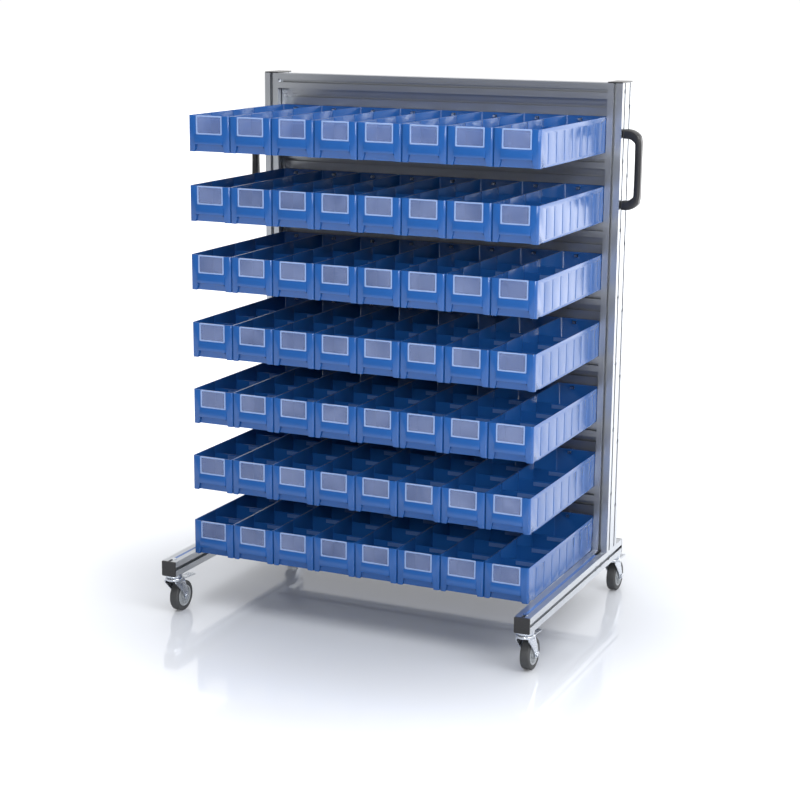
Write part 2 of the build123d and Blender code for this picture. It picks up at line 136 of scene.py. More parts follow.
class StageSettings(bpy.types.PropertyGroup):
    lens: FloatProperty(
        name="Lens",
        description="Focal length of the camera",
        default=81.3,
    )
    key_power: FloatProperty(
        name="Key light",
        description="Power of the light on the right, in watts",
        default=75.0,
    )
    panel_power: FloatProperty(
        name="Side panel",
        description="Power of the bright panel behind on the right, in watts",
        default=34.0,
    )
    top_power: FloatProperty(
        name="Top light",
        description="Power of the light overhead, in watts",
        default=170.0,
    )
    fill_power: FloatProperty(
        name="Front light",
        description="Power of the light in front, in watts",
        default=130.0,
    )
    floor_glow: FloatProperty(
        name="Floor glow",
        description="Light that the floor gives off far from the rack",
        default=0.75,
    )
    floor_colour: FloatVectorProperty(
        name="Floor colour",
        description="Colour of the pale floor",
        default=(0.50, 0.52, 0.56),
        subtype="COLOR",
    )


# ---- Modelling helpers -------------------------------------------------------------------------
def deselect():
    if bpy.context.object and bpy.context.object.mode != "OBJECT":
        bpy.ops.object.mode_set(mode="OBJECT")
    bpy.ops.object.select_all(action="DESELECT")


def pick(*objects):
    """Selects only these objects; the first one is active."""
    deselect()
    for one in objects:
        one.select_set(True)
    bpy.context.view_layer.objects.active = objects[0]


def settle(name):
    """Names the active object and puts its place into its mesh."""
    piece = bpy.context.object
    piece.name = name
    piece.data.name = name
    pick(piece)
    bpy.ops.object.transform_apply(location=True, rotation=True, scale=True)
    return piece


def block(name, low, high):
    """A box between two corners, a start for a piece or a cutting tool."""
    low, high = Vector(low), Vector(high)
    deselect()
    bpy.ops.mesh.primitive_cube_add(size=1, location=(low + high) / 2)
    bpy.context.object.scale = high - low
    return settle(name)


def rod(name, centre, radius, depth, axis="Z", sides=32):
    """A cylinder about a point, along one of the axes."""
    turn = {"X": (0, pi / 2, 0), "Y": (pi / 2, 0, 0), "Z": (0, 0, 0)}[axis]
    deselect()
    bpy.ops.mesh.primitive_cylinder_add(
        vertices=sides, radius=radius, depth=depth, location=centre, rotation=turn
    )
    return settle(name)


def edit(piece, kind="FACE"):
    """Opens a piece in edit mode with nothing selected."""
    pick(piece)
    bpy.ops.object.mode_set(mode="EDIT")
    bpy.ops.mesh.select_mode(type=kind)
    bpy.ops.mesh.select_all(action="DESELECT")
    bpy.ops.object.mode_set(mode="OBJECT")


def choose(piece, kind, test):
    """Selects the faces, edges or vertices of a piece that pass a test, in edit mode."""
    edit(piece, kind)
    mesh = piece.data
    if kind == "FACE":
        for face in mesh.polygons:
            face.select = test(face.center, face.normal)
    elif kind == "EDGE":
        for edge in mesh.edges:
            a, b = (mesh.vertices[i].co for i in edge.vertices)
            edge.select = test(a, b)
    else:
        for vertex in mesh.vertices:
            vertex.select = test(vertex.co)
    bpy.ops.object.mode_set(mode="EDIT")


def done():
    """Closes edit mode."""
    bpy.ops.object.mode_set(mode="OBJECT")


def modify(piece, kind, **values):
    """Adds a modifier to a piece and applies it."""
    pick(piece)
    modifier = piece.modifiers.new(kind.title(), kind)
    for key, value in values.items():
        setattr(modifier, key, value)
    bpy.ops.object.modifier_apply(modifier=modifier.name)


def carve(piece, *tools, operation="DIFFERENCE"):
    """Cuts tools out of a piece, or fuses them with it; the tools are used up."""
    for tool in tools:
        modify(piece, "BOOLEAN", object=tool, operation=operation, solver="EXACT")
        bpy.data.objects.remove(tool)


def join(name, *pieces):
    """Makes one piece of several, which stay separate shells inside it."""
    pick(*pieces)
    bpy.ops.object.join()
    return settle(name)


def soften(piece, width, segments=2, angle=35):
    """Rounds the sharp edges of a piece and shades it."""
    modify(
        piece,
        "BEVEL",
        width=width,
        segments=segments,
        limit_method="ANGLE",
        angle_limit=radians(angle),
        use_clamp_overlap=True,
    )
    pick(piece)
    bpy.ops.object.shade_smooth_by_angle(angle=radians(40))
    return piece


def copy_of(piece, name, offset=(0, 0, 0)):
    """A copy with its own mesh, moved by an offset that goes into the mesh."""
    pick(piece)
    bpy.ops.object.duplicate(linked=False)
    bpy.ops.transform.translate(value=offset)
    return settle(name)


def mirrored(piece, name):
    """A copy on the other side of the middle plane, its faces turned outwards again."""
    pick(piece)
    bpy.ops.object.duplicate(linked=False)
    copy = bpy.context.object
    copy.scale = (-1, 1, 1)
    copy = settle(name)
    choose(copy, "FACE", lambda centre, normal: True)
    bpy.ops.mesh.normals_make_consistent(inside=False)
    done()
    return copy


def repeat(piece, count, offset):
    """Repeats a piece in a row, all in its own mesh."""
    modify(
        piece,
        "ARRAY",
        count=count,
        use_relative_offset=False,
        use_constant_offset=True,
        constant_offset_displace=offset,
    )


def paint(piece, material):
    """Gives a piece this material and no other."""
    piece.data.materials.clear()
    piece.data.materials.append(material)
    return piece


def stands_for(piece, node, body):
    """Rides a piece on a body in place of a CAD node."""
    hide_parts(node)
    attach(piece, body)


# ---- Finishes ----------------------------------------------------------------------------------
def surface_group(name, drawn=False):
    """Slight unevenness: two tones, a spread of roughness and a fine height.

    Drawn stretches the grain along one axis, as on an extruded bar.
    """
    group = bpy.data.node_groups.get(name)
    if group:
        return group
    group = bpy.data.node_groups.new(name, "ShaderNodeTree")
    face = group.interface
    for label, kind, value in (
        ("Light Tone", "NodeSocketColor", (0.8, 0.8, 0.8, 1)),
        ("Dark Tone", "NodeSocketColor", (0.7, 0.7, 0.7, 1)),
        ("Rough Low", "NodeSocketFloat", 0.25),
        ("Rough High", "NodeSocketFloat", 0.4),
        ("Grain Size", "NodeSocketFloat", 300.0),
        ("Stretch", "NodeSocketVector", (1, 1, 1)),
    ):
        socket = face.new_socket(name=label, in_out="INPUT", socket_type=kind)
        socket.default_value = value
    face.new_socket(name="Colour", in_out="OUTPUT", socket_type="NodeSocketColor")
    face.new_socket(name="Roughness", in_out="OUTPUT", socket_type="NodeSocketFloat")
    face.new_socket(name="Height", in_out="OUTPUT", socket_type="NodeSocketFloat")
    nodes, links = group.nodes, group.links
    inputs = nodes.new("NodeGroupInput")
    outputs = nodes.new("NodeGroupOutput")
    place = nodes.new("ShaderNodeTexCoord")
    stretch = nodes.new("ShaderNodeVectorMath")
    stretch.operation = "MULTIPLY"
    links.new(place.outputs["Object"], stretch.inputs[0])
    links.new(inputs.outputs["Stretch"], stretch.inputs[1])
    fine = nodes.new("ShaderNodeTexNoise")
    fine.inputs["Detail"].default_value = 3
    broad = nodes.new("ShaderNodeTexNoise")
    broad.inputs["Scale"].default_value = 9 if drawn else 6
    broad.inputs["Detail"].default_value = 4
    links.new(stretch.outputs[0], fine.inputs["Vector"])
    links.new(inputs.outputs["Grain Size"], fine.inputs["Scale"])
    links.new(stretch.outputs[0] if drawn else place.outputs["Object"], broad.inputs["Vector"])
    tone = nodes.new("ShaderNodeMix")
    tone.data_type = "RGBA"
    links.new(broad.outputs["Fac"], tone.inputs["Factor"])
    links.new(inputs.outputs["Dark Tone"], tone.inputs["A"])
    links.new(inputs.outputs["Light Tone"], tone.inputs["B"])
    spread = nodes.new("ShaderNodeMapRange")
    links.new(fine.outputs["Fac"], spread.inputs["Value"])
    spread.inputs["From Min"].default_value = 0.3
    spread.inputs["From Max"].default_value = 0.7
    links.new(inputs.outputs["Rough Low"], spread.inputs["To Min"])
    links.new(inputs.outputs["Rough High"], spread.inputs["To Max"])
    links.new(tone.outputs["Result"], outputs.inputs["Colour"])
    links.new(spread.outputs["Result"], outputs.inputs["Roughness"])
    links.new(fine.outputs["Fac"], outputs.inputs["Height"])
    return group


def finish(
    name,
    light,
    dark,
    rough,
    grain=300.0,
    stretch=(1, 1, 1),
    bump=0.04,
    relief=0.00004,
    metal=0.0,
    drawn=False,
):
    """A material: the shader's plain values, with tone, roughness and grain from the group."""
    material = bpy.data.materials.get(name)
    if material:
        return material
    material = bpy.data.materials.new(name)
    material.use_nodes = True
    nodes, links = material.node_tree.nodes, material.node_tree.links
    shader = nodes["Principled BSDF"]
    shader.inputs["Metallic"].default_value = metal
    group = nodes.new("ShaderNodeGroup")
    group.node_tree = surface_group("Drawn surface" if drawn else "Moulded surface", drawn)
    group.inputs["Light Tone"].default_value = (*light, 1)
    group.inputs["Dark Tone"].default_value = (*dark, 1)
    group.inputs["Rough Low"].default_value = rough[0]
    group.inputs["Rough High"].default_value = rough[1]
    group.inputs["Grain Size"].default_value = grain
    group.inputs["Stretch"].default_value = stretch
    height = nodes.new("ShaderNodeBump")
    height.inputs["Strength"].default_value = bump
    height.inputs["Distance"].default_value = relief
    links.new(group.outputs["Colour"], shader.inputs["Base Color"])
    links.new(group.outputs["Roughness"], shader.inputs["Roughness"])
    links.new(group.outputs["Height"], height.inputs["Height"])
    links.new(height.outputs["Normal"], shader.inputs["Normal"])
    return material


def profile_finish(along):
    """Clear anodised profile, its die lines running along one axis."""
    colour = Vector(bpy.context.scene.bin_rack.metal_colour)
    stretch = {"X": (0.01, 1, 1), "Y": (1, 0.01, 1), "Z": (1, 1, 0.01)}[along]
    return finish(
        f"Anodised profile {along}",
        colour * 1.05,
        colour * 0.93,
        (0.30, 0.42),
        grain=1400,
        stretch=stretch,
        bump=0.25,
        relief=0.00006,
        metal=1.0,
        drawn=True,
    )


def blue_finish():
    colour = Vector(bpy.context.scene.rack_bins.colour)
    return finish(
        "Blue moulded plastic",
        colour * 1.08,
        colour * 0.94,
        (0.17, 0.25),
        grain=900,
        bump=0.12,
        relief=0.00005,
    )


def black_finish():
    return finish(
        "Black moulded plastic",
        (0.016, 0.016, 0.018),
        (0.010, 0.010, 0.011),
        (0.24, 0.36),
        grain=1200,
        bump=0.15,
    )


# Finish of the slot covers, and of the dividers' lighter strips, which are painted light
def cover_and_lit_patch_finish():
    colour = Vector(bpy.context.scene.rack_bins.cover_and_lit_patch_colour)
    return finish("Slot cover and painted light patch", colour * 1.05, colour * 0.95, (0.35, 0.5), grain=1500)


def milky_finish():
    return finish(
        "Milky pane border",
        (0.24, 0.33, 0.56),
        (0.17, 0.26, 0.48),
        (0.20, 0.30),
        grain=700,
    )


def zinc_finish():
    return finish(
        "Bright zinc",
        (0.66, 0.69, 0.74),
        (0.50, 0.53, 0.58),
        (0.20, 0.36),
        grain=260,
        bump=0.08,
        metal=1.0,
    )


def tyre_finish():
    return finish(
        "Grey tyre rubber",
        (0.050, 0.052, 0.055),
        (0.034, 0.036, 0.038),
        (0.55, 0.7),
        grain=1600,
        bump=0.3,
    )


def hub_finish():
    return finish(
        "Grey hub plastic",
        (0.34, 0.36, 0.38),
        (0.26, 0.28, 0.30),
        (0.35, 0.5),
        grain=800,
        bump=0.12,
    )


def clear_finish():
    """Clear moulded plastic that has gone slightly cloudy, more in some places than in others."""
    material = bpy.data.materials.get("Clear pane")
    if material:
        return material
    material = bpy.data.materials.new("Clear pane")
    material.use_nodes = True
    nodes, links = material.node_tree.nodes, material.node_tree.links
    shader = nodes["Principled BSDF"]
    shader.inputs["Specular IOR Level"].default_value = 0.7
    group = nodes.new("ShaderNodeGroup")
    group.node_tree = surface_group("Moulded surface")
    group.inputs["Light Tone"].default_value = (0.24, 0.30, 0.50, 1)
    group.inputs["Dark Tone"].default_value = (0.10, 0.15, 0.34, 1)
    group.inputs["Rough Low"].default_value = 0.08
    group.inputs["Rough High"].default_value = 0.20
    group.inputs["Grain Size"].default_value = 60
    place = nodes.new("ShaderNodeTexCoord")
    cloud = nodes.new("ShaderNodeTexNoise")
    cloud.inputs["Scale"].default_value = 12
    haze = nodes.new("ShaderNodeMapRange")
    haze.inputs["From Min"].default_value = 0.35
    haze.inputs["From Max"].default_value = 0.65
    haze.inputs["To Min"].default_value = 0.32
    haze.inputs["To Max"].default_value = 0.52
    links.new(place.outputs["Object"], cloud.inputs["Vector"])
    links.new(cloud.outputs["Fac"], haze.inputs["Value"])
    links.new(haze.outputs["Result"], shader.inputs["Alpha"])
    links.new(group.outputs["Colour"], shader.inputs["Base Color"])
    links.new(group.outputs["Roughness"], shader.inputs["Roughness"])
    return material


# ---- Bins --------------------------------------------------------------------------------------
BIN_LENGTH = 0.500
BIN_HALF = 0.0582
BIN_HEIGHT = 0.090
BIN_FLOOR = 0.0026
BIN_PITCH = 0.117
LIP_REACH = 0.0035  # how far the finger lip stands out of the front
LIP_HALF = 0.0395
RECESS_HALF = 0.0430
RECESS_TOP = 0.0190
PANE_HALF = 0.0368
PANE_BOTTOM = 0.043
PANE_TOP = 0.0898
GROOVE_FIRST = 0.053
GROOVE_PITCH = 0.056
DIVIDERS = (0.109, 0.221, 0.333)  # places of the dividers, from the front


def model_bin(name):
    """One bin about X = 0, its front at Y = 0, on Z = 0."""
    sizes = bpy.context.scene.rack_bins
    wall, corner = sizes.wall, sizes.corner
    top = BIN_HEIGHT
    shell = block(name, (-BIN_HALF, 0, 0), (BIN_HALF, BIN_LENGTH, top))
    choose(shell, "EDGE", lambda a, b: abs(a.z - b.z) > top / 2)
    bpy.ops.mesh.bevel(offset=corner, segments=4)
    done()
    choose(shell, "FACE", lambda centre, normal: normal.z > 0.9)
    bpy.ops.mesh.inset(thickness=wall)
    bpy.ops.mesh.extrude_region_move(
        TRANSFORM_OT_translate={"value": (0, 0, BIN_FLOOR - top)}
    )
    done()
    # the finger recess: its housing inside the bin, then the recess itself
    housing = block("housing", (-0.0452, wall / 2, 0.001), (0.0452, 0.0112, 0.0212))
    choose(housing, "FACE", lambda centre, normal: normal.z > 0.9)
    bpy.ops.transform.resize(value=(0.89, 1, 1), center_override=(0, 0, 0.0212))
    done()
    carve(shell, housing, operation="UNION")
    lip = block("lip", (-LIP_HALF, -LIP_REACH, RECESS_TOP), (LIP_HALF, wall / 2, 0.0420))
    choose(lip, "EDGE", lambda a, b: max(a.y, b.y) < 0 and min(a.z, b.z) > 0.03)
    bpy.ops.transform.translate(value=(0, 0.0033, 0))
    done()
    choose(lip, "FACE", lambda centre, normal: normal.y < -0.5)
    bpy.ops.mesh.subdivide(number_cuts=2)
    done()
    choose(lip, "VERT", lambda co: co.y < -0.0003 and 0.022 < co.z < 0.04)
    bpy.ops.transform.translate(value=(0, -0.0008, 0))
    done()
    carve(shell, lip, operation="UNION")
    recess = block("recess", (-RECESS_HALF, -0.010, -0.001), (RECESS_HALF, 0.0090, RECESS_TOP))
    choose(recess, "FACE", lambda centre, normal: normal.z > 0.9)
    bpy.ops.transform.resize(value=(0.884, 1, 1), center_override=(0, 0, RECESS_TOP))
    done()
    tools = [recess]
    tools.append(block("notch", (-0.037, -0.01, PANE_BOTTOM), (0.037, 0.006, 0.1)))
    tools.append(block("hook hole", (-0.0245, 0.49, 0.0757), (-0.0135, 0.51, 0.0837)))
    carve(shell, *tools)
    # round grooves along the outside, and a low notch on each side near the front
    depth, width = sizes.groove_depth, sizes.groove_width
    cutters = []
    radius = (width * width / 4 + depth * depth) / (2 * depth)
    for side in (-1, 1):
        face = side * BIN_HALF
        centre = (face + side * (radius - depth), GROOVE_FIRST, 0.0425)
        groove = rod("groove", centre, radius, 0.071, axis="Z", sides=24)
        repeat(groove, sizes.groove_count, (0, GROOVE_PITCH, 0))
        cutters.append(groove)
        low_x, high_x = sorted((face - side * 0.003, face + side * 0.004))
        cutters.append(block("low notch", (low_x, 0.012, -0.001), (high_x, 0.034, 0.0022)))
    carve(shell, join("grooves", *cutters))
    # grooves for the dividers, inside
    slots = []
    for y in DIVIDERS:
        for side in (-1, 1):
            low_x, high_x = sorted((side * 0.0550, side * 0.0570))
            slots.append(block("slot", (low_x, y - 0.001, 0.0040), (high_x, y + 0.001, 0.1)))
    carve(shell, join("slots", *slots))
    soften(shell, bpy.context.scene.bin_rack.edge, segments=2)
    return paint(shell, blue_finish())


def model_window(name):
    """The pane of one bin: a milky border round a clear middle."""
    border = bpy.context.scene.rack_bins.pane_border
    ring = block(name, (-PANE_HALF, -0.0004, PANE_BOTTOM), (PANE_HALF, 0.0032, PANE_TOP))
    choose(ring, "EDGE", lambda a, b: abs(a.y - b.y) > 0.001)
    bpy.ops.mesh.bevel(offset=0.0025, segments=3)
    done()
    half, low, high = PANE_HALF - border, PANE_BOTTOM + border, PANE_TOP - border
    hole = block("hole", (-half, -0.01, low), (half, 0.01, high))
    choose(hole, "EDGE", lambda a, b: abs(a.y - b.y) > 0.005)
    bpy.ops.mesh.bevel(offset=0.002, segments=3)
    done()
    carve(ring, hole)
    soften(ring, 0.0005, segments=1)
    paint(ring, milky_finish())
    pane = block("pane", (-half, 0.0008, low), (half, 0.0018, high))
    paint(soften(pane, 0.0002, segments=1), clear_finish())
    return join(name, ring, pane)


def model_dividers(name):
    """The three dividers of one bin, each with a lighter strip that paints the patch of light on its
    upper front.
    """
    plate = block("plate", (-0.0568, -0.0008, 0.0027), (0.0568, 0.0008, 0.072))
    paint(soften(plate, 0.0005, segments=1), blue_finish())
    # painted light: this lighter strip stands for the light falling on the divider's upper front,
    # past the shade of the bin's front and left walls
    strip = block("strip", (-0.0160, -0.0020, 0.0590), (0.0545, -0.0008, 0.0690))
    paint(soften(strip, 0.0005, segments=1), cover_and_lit_patch_finish())
    one = join(name, plate, strip)
    copies = [copy_of(one, "copy", (0, y - DIVIDERS[0], 0)) for y in DIVIDERS[1:]]
    row = join(name, one, *copies)
    pick(row)
    bpy.ops.transform.translate(value=(0, DIVIDERS[0], 0))
    return settle(name)


class RACK_OT_bins(bpy.types.Operator):
    """Models the bins, their panes and their dividers, tier by tier"""

    bl_idname = "bin_rack.bins"
    bl_label = "Bins"

    def execute(self, context):
        models = (
            (model_bin("bin"), "bins", "single_bin", "blue_plastic"),
            (model_window("window"), "windows", "single_bin_window", "clear_plastic"),
            (model_dividers("divider"), "dividers", "single_bin_dividers", "divider_plastic"),
        )
        for model, plural, single, slot in models:
            for tier in TIERS:
                low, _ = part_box(f"tier_{tier}_bins")
                start = Vector((low.x + BIN_HALF, low.y + LIP_REACH, low.z))
                row = copy_of(model, f"Tier_{tier}_{plural}", start)
                repeat(row, 7 if tier == 1 else 8, (BIN_PITCH, 0, 0))
                stands_for(row, f"tier_{tier}_{plural}", f"tier_{tier}_bin_row")
            low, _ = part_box("single_bin")
            start = Vector((low.x + BIN_HALF, low.y + LIP_REACH, low.z))
            lone = copy_of(model, single.capitalize(), start)
            stands_for(lone, single, "single_bin_body")
            bpy.data.objects.remove(model)
        return {"FINISHED"}


# ---- Frame -------------------------------------------------------------------------------------
class RACK_OT_frame(bpy.types.Operator):
    """Finishes the profiles, caps, slot covers, screws and hooks"""

    bl_idname = "bin_rack.frame"
    bl_label = "Frame"

    def execute(self, context):
        nodes = frame["nodes"]
        for name in ("left_upright", "right_upright"):
            paint(nodes[name], profile_finish("Z"))
        for name in ("front_beams", "rear_beams", "foot_crossbeam"):
            paint(nodes[name], profile_finish("X"))
        for name in ("left_foot", "right_foot"):
            paint(nodes[name], profile_finish("Y"))
        paint(nodes["end_caps"], black_finish())
        paint(nodes["slot_covers"], cover_and_lit_patch_finish())
        for name in ("frame_screws", "handle_bolts", "bin_hooks", "caster_bolts"):
            paint(nodes[name], zinc_finish())
        return {"FINISHED"}


def model_handle(name):
    """A bridge handle on the right upright: a section drawn out, spun round two corners."""
    low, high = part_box("right_handle")
    mid_y = (low.y + high.y) / 2
    leg = 0.024
    grip = 0.017
    turn = 0.028
    line_x = high.x - grip / 2
    corner_x = line_x - turn
    low_z, high_z = low.z + leg / 2, high.z - leg / 2
    deselect()
    bpy.ops.mesh.primitive_plane_add(
        size=1, location=(low.x, mid_y, low_z), rotation=(0, pi / 2, 0)
    )
    bpy.context.object.scale = (leg, high.y - low.y, 1)
    bar = settle(name)

    def draw_out(value, steps=1):
        for _ in range(steps):
            bpy.ops.mesh.extrude_region_move(
                TRANSFORM_OT_translate={"value": [part / steps for part in value]}
            )

    choose(bar, "FACE", lambda centre, normal: True)
    draw_out((corner_x - low.x, 0, 0))
    bpy.ops.mesh.spin(
        steps=8, angle=pi / 2, center=(corner_x, mid_y, low_z + turn), axis=(0, 1, 0)
    )
    draw_out((0, 0, high_z - low_z - 2 * turn), steps=6)
    bpy.ops.mesh.spin(
        steps=8, angle=pi / 2, center=(corner_x, mid_y, high_z - turn), axis=(0, 1, 0)
    )
    draw_out((low.x - corner_x, 0, 0))
    bpy.ops.mesh.select_all(action="SELECT")
    bpy.ops.mesh.remove_doubles(threshold=0.00001)
    bpy.ops.mesh.normals_make_consistent(inside=False)
    done()
    # the legs thin down to the grip round the corners
    for reach, thin in ((0.50, 0.95), (0.80, 0.90), (1.0, 0.83)):
        start = corner_x + turn * reach - leg / 2 * reach
        choose(
            bar, "VERT", lambda co: co.x > start and low_z + leg / 2 < co.z < high_z - leg / 2
        )
        bpy.ops.transform.resize(value=(thin, 1, 1), center_override=(line_x, mid_y, 0))
        done()
    mid_z = (low_z + high_z) / 2
    waist = bpy.context.scene.bin_rack.handle_waist
    for half, share in ((0.066, 0.4), (0.045, 0.35), (0.024, 0.25)):
        factor = 1 - 2 * waist * share / (high.y - low.y)
        choose(bar, "VERT", lambda co: co.x > corner_x and abs(co.z - mid_z) < half)
        bpy.ops.transform.resize(value=(1, factor, 1), center_override=(line_x, mid_y, mid_z))
        done()
    modify(
        bar,
        "BEVEL",
        width=0.0055,
        segments=4,
        limit_method="ANGLE",
        angle_limit=radians(50),
        use_clamp_overlap=True,
    )
    pick(bar)
    bpy.ops.object.shade_smooth_by_angle(angle=radians(35))
    return paint(bar, black_finish())


class RACK_OT_handles(bpy.types.Operator):
    """Models the two bridge handles"""

    bl_idname = "bin_rack.handles"
    bl_label = "Handles"

    def execute(self, context):
        right = model_handle("Right_handle")
        left = mirrored(right, "Left_handle")
        stands_for(right, "right_handle", "frame")
        stands_for(left, "left_handle", "frame")
        return {"FINISHED"}


# ---- Casters: one of each piece is modelled about its swivel axis, Z = 0 under the foot -----------
WHEEL = (0.0, 0.034, -0.068)
TYRE_RADIUS = 0.0400
HUB_RADIUS = 0.0280
WHEEL_WIDTH = 0.024
AXLE_RADIUS = 0.0040
AXLE_BORE = 0.00405
LEG_THICKNESS = 0.0025
LEG_X = 0.01625  # middle of a fork leg's thickness
PIVOT = (0.016, -0.022)  # the pedal's pivot, in Y and Z


def model_race(name):
    """The ball race that stays still under the foot."""
    race = rod(name, (0, 0, -0.004), 0.022, 0.008, sides=48)
    choose(race, "FACE", lambda centre, normal: normal.z < -0.9)
    bpy.ops.mesh.inset(thickness=0.0035)
    bpy.ops.transform.resize(value=(0.98, 0.98, 1))
    done()
    choose(
        race,
        "EDGE",
        lambda a, b: max(a.z, b.z) < -0.007 and min(a.xy.length, b.xy.length) > 0.02,
    )
    bpy.ops.mesh.bevel(offset=0.0030, segments=4)
    done()
    return paint(soften(race, 0.0004, segments=1), zinc_finish())


def model_fork(name):
    """A pressed fork: a round crown and two legs that sweep back to the axle."""
    crown = rod(name, (0, 0, -0.0123), 0.023, 0.008, sides=48)
    choose(
        crown,
        "EDGE",
        lambda a, b: abs(a.z - b.z) < 0.0001 and min(a.xy.length, b.xy.length) > 0.02,
    )
    bpy.ops.mesh.bevel(offset=0.0028, segments=4)
    done()
    bridge = block("bridge", (-0.0175, -0.0185, -0.0160), (0.0175, 0.0250, -0.0130))
    choose(bridge, "EDGE", lambda a, b: abs(a.z - b.z) > 0.001)
    bpy.ops.mesh.bevel(offset=0.004, segments=3)
    done()
    carve(crown, bridge, operation="UNION")
    leg = block("leg", (0.0150, -0.0185, -0.0210), (0.0175, 0.0250, -0.0140))
    choose(leg, "FACE", lambda centre, normal: normal.z < -0.9)
    # height, front edge and back edge of the leg, from the crown down to the axle
    sweep = (
        (-0.0280, -0.0105, 0.0290),
        (-0.0350, -0.0035, 0.0322),
        (-0.0430, 0.0050, 0.0355),
        (-0.0520, 0.0140, 0.0390),
        (-0.0600, 0.0205, 0.0420),
        (-0.0680, 0.0245, 0.0437),
    )
    last_z, last_y, last_span = -0.0210, 0.00325, 0.0435
    for z, front, back in sweep:
        middle, span = (front + back) / 2, back - front
        bpy.ops.mesh.extrude_region_move(
            TRANSFORM_OT_translate={"value": (0, middle - last_y, z - last_z)}
        )
        bpy.ops.transform.resize(
            value=(1, span / last_span, 1), center_override=(LEG_X, middle, z)
        )
        last_z, last_y, last_span = z, middle, span
    done()
    end = rod("end", (LEG_X, *WHEEL[1:]), 0.0100, LEG_THICKNESS, axis="X", sides=40)
    carve(leg, end, operation="UNION")
    hole = rod("hole", (LEG_X, *WHEEL[1:]), AXLE_BORE, 0.02, axis="X")
    pin = rod("pin", (LEG_X, *PIVOT), 0.0026, 0.02, axis="X")
    carve(leg, hole, pin)
    other = mirrored(leg, "other leg")
    carve(crown, leg, other, operation="UNION")
    return paint(soften(crown, 0.0008, segments=3), zinc_finish())


def model_axle(name, side):
    """The axle bolt: hexagon head outside, rivetted end inside."""
    head = rod(name, (side * 0.0200, *WHEEL[1:]), 0.0075, 0.005, axis="X", sides=6)
    choose(head, "FACE", lambda centre, normal: normal.x * side > 0.9)
    bpy.ops.mesh.bevel(offset=0.0009, segments=2)
    done()
    shank = rod("shank", (0, *WHEEL[1:]), AXLE_RADIUS, 0.040, axis="X")
    rivet = rod("rivet", (-side * 0.01875, *WHEEL[1:]), 0.0060, 0.0025, axis="X")
    choose(rivet, "FACE", lambda centre, normal: normal.x * side < -0.9)
    bpy.ops.mesh.bevel(offset=0.0012, segments=3)
    done()
    carve(head, shank, rivet, operation="UNION")
    return paint(soften(head, 0.0003, segments=1), zinc_finish())


def model_hub(name):
    """A moulded hub: rim, thin web with a raised ring, boss and bore."""
    hub = rod(name, WHEEL, HUB_RADIUS, WHEEL_WIDTH, axis="X", sides=64)
    choose(hub, "FACE", lambda centre, normal: abs(normal.x) > 0.9)
    bpy.ops.mesh.inset(thickness=0.004, use_individual=True)
    done()
    for side in (-1, 1):
        choose(
            hub,
            "FACE",
            lambda centre, normal: normal.x * side > 0.9
            and (Vector((centre.y, centre.z)) - Vector(WHEEL[1:])).length < 0.01,
        )
        bpy.ops.mesh.extrude_region_move(TRANSFORM_OT_translate={"value": (-side * 0.0075, 0, 0)})
        bpy.ops.mesh.inset(thickness=0.0020)
        bpy.ops.mesh.inset(thickness=0.0045)
        bpy.ops.mesh.extrude_region_move(TRANSFORM_OT_translate={"value": (side * 0.0020, 0, 0)})
        bpy.ops.mesh.inset(thickness=0.0025)
        bpy.ops.mesh.inset(thickness=0.0030)
        bpy.ops.mesh.extrude_region_move(TRANSFORM_OT_translate={"value": (side * 0.0070, 0, 0)})
        done()
    bore = rod("bore", WHEEL, AXLE_BORE, 0.05, axis="X")
    carve(hub, bore)
    return paint(soften(hub, 0.0006, segments=2), hub_finish())


def model_tyre(name):
    """A soft tyre with rounded shoulders and a shallow step beside the hub."""
    tyre = rod(name, WHEEL, TYRE_RADIUS, WHEEL_WIDTH, axis="X", sides=72)
    choose(tyre, "FACE", lambda centre, normal: abs(normal.x) > 0.9)
    bpy.ops.mesh.inset(thickness=0.0080, use_individual=True)
    done()
    middle = Vector(WHEEL[1:])
    choose(
        tyre,
        "EDGE",
        lambda a, b: abs(a.x - b.x) < 0.001
        and min((Vector(a.yz) - middle).length, (Vector(b.yz) - middle).length) > 0.039,
    )
    bpy.ops.mesh.bevel(offset=0.004, segments=5)
    done()
    bore = rod("bore", WHEEL, HUB_RADIUS, 0.05, axis="X", sides=72)
    step = rod("step", (0.0125, *WHEEL[1:]), 0.0305, 0.003, axis="X", sides=72)
    other = rod("step", (-0.0125, *WHEEL[1:]), 0.0305, 0.003, axis="X", sides=72)
    carve(tyre, bore, join("steps", step, other))
    return paint(soften(tyre, 0.0004, segments=1), tyre_finish())


def model_pedal(name):
    """The brake pedal: a barrel on its pivot and a ribbed plate behind it."""
    near, far, top, droop = 0.0135, 0.0920, -0.0182, 0.0053
    plate = block(name, (-0.0120, near, -0.0207), (0.0120, far, top))
    choose(plate, "FACE", lambda centre, normal: normal.y > 0.9)
    bpy.ops.transform.translate(value=(0, 0, -droop))
    done()
    choose(plate, "EDGE", lambda a, b: abs(a.z - b.z) > 0.002 and min(a.y, b.y) > 0.09)
    bpy.ops.mesh.bevel(offset=0.006, segments=4)
    done()
    ribs = []
    for k in range(5):
        y = 0.058 + 0.0065 * k
        z = top - droop * (y - near) / (far - near)
        ribs.append(
            block("rib", (-0.0095, y - 0.0011, z - 0.0006), (0.0095, y + 0.0011, z + 0.002))
        )
    carve(plate, join("ribs", *ribs))
    barrel = rod("barrel", (0, *PIVOT), 0.0035, 0.0294, axis="X")
    carve(plate, barrel, operation="UNION")
    return paint(soften(plate, 0.0004, segments=2), zinc_finish())


